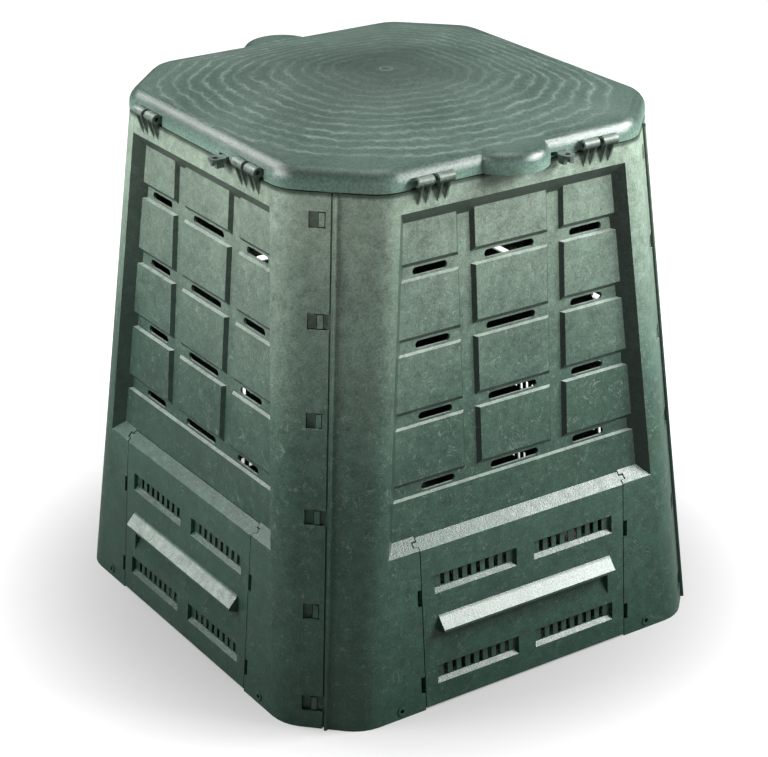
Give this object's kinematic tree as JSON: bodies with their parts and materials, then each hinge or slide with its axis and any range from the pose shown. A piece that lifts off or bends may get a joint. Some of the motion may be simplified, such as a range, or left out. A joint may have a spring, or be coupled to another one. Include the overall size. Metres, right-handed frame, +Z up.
{
  "type": "compost bin",
  "caption": "Square, tapering garden compost bin with recessed slotted side panels, sliding lower hatches, a hinged octagonal lid and swivelling lid latches.",
  "frame": {"origin": "on the ground at the middle of the bin", "axes": "+Z up, -Y out of the front panel, +X to the right as seen from the front"},
  "size_m": [0.759, 0.759, 0.8289],
  "materials": {
    "body_plastic": "matte, mottled recycled plastic",
    "lid_plastic": "matte, finely grained",
    "trim_plastic": "matte"
  },
  "bodies": {
    "shell": {"panel_front": "body_plastic", "panel_right": "body_plastic", "panel_back": "body_plastic", "panel_left": "body_plastic", "hinge_pin_left": "trim_plastic", "hinge_pin_right": "trim_plastic", "latch_pin_front": "trim_plastic", "latch_pin_right": "trim_plastic", "latch_pin_left": "trim_plastic"},
    "lid": {"lid": "lid_plastic"},
    "hatch_front": {"hatch_front": "body_plastic"},
    "hatch_right": {"hatch_right": "body_plastic"},
    "hatch_back": {"hatch_back": "body_plastic"},
    "hatch_left": {"hatch_left": "body_plastic"},
    "latch_front": {"latch_front": "trim_plastic"},
    "latch_right": {"latch_right": "trim_plastic"},
    "latch_left": {"latch_left": "trim_plastic"}
  },
  "joints": [
    {"name": "lid_hinge", "type": "hinge", "parent": "shell", "child": "lid", "pos_m": [0, 0.3204, 0.78], "axis": [-1, 0, 0], "range_deg": [0, 80]},
    {"name": "hatch_front_slide", "type": "slide", "parent": "shell", "child": "hatch_front", "axis": [0, 0.0788, 0.9969], "range_m": [0, 0.2]},
    {"name": "hatch_right_slide", "type": "slide", "parent": "shell", "child": "hatch_right", "axis": [-0.0788, 0, 0.9969], "range_m": [0, 0.2]},
    {"name": "hatch_back_slide", "type": "slide", "parent": "shell", "child": "hatch_back", "axis": [0, -0.0788, 0.9969], "range_m": [0, 0.2]},
    {"name": "hatch_left_slide", "type": "slide", "parent": "shell", "child": "hatch_left", "axis": [0.0788, 0, 0.9969], "range_m": [0, 0.2]},
    {"name": "latch_front_swivel", "type": "hinge", "parent": "shell", "child": "latch_front", "pos_m": [0.075, -0.30033, 0.772], "axis": [0, 0, 1], "range_deg": [-25, 0]},
    {"name": "latch_right_swivel", "type": "hinge", "parent": "shell", "child": "latch_right", "pos_m": [0.30033, 0.075, 0.772], "axis": [0, 0, 1], "range_deg": [-25, 0]},
    {"name": "latch_left_swivel", "type": "hinge", "parent": "shell", "child": "latch_left", "pos_m": [-0.30033, -0.075, 0.772], "axis": [0, 0, 1], "range_deg": [-25, 0]}
  ]
}
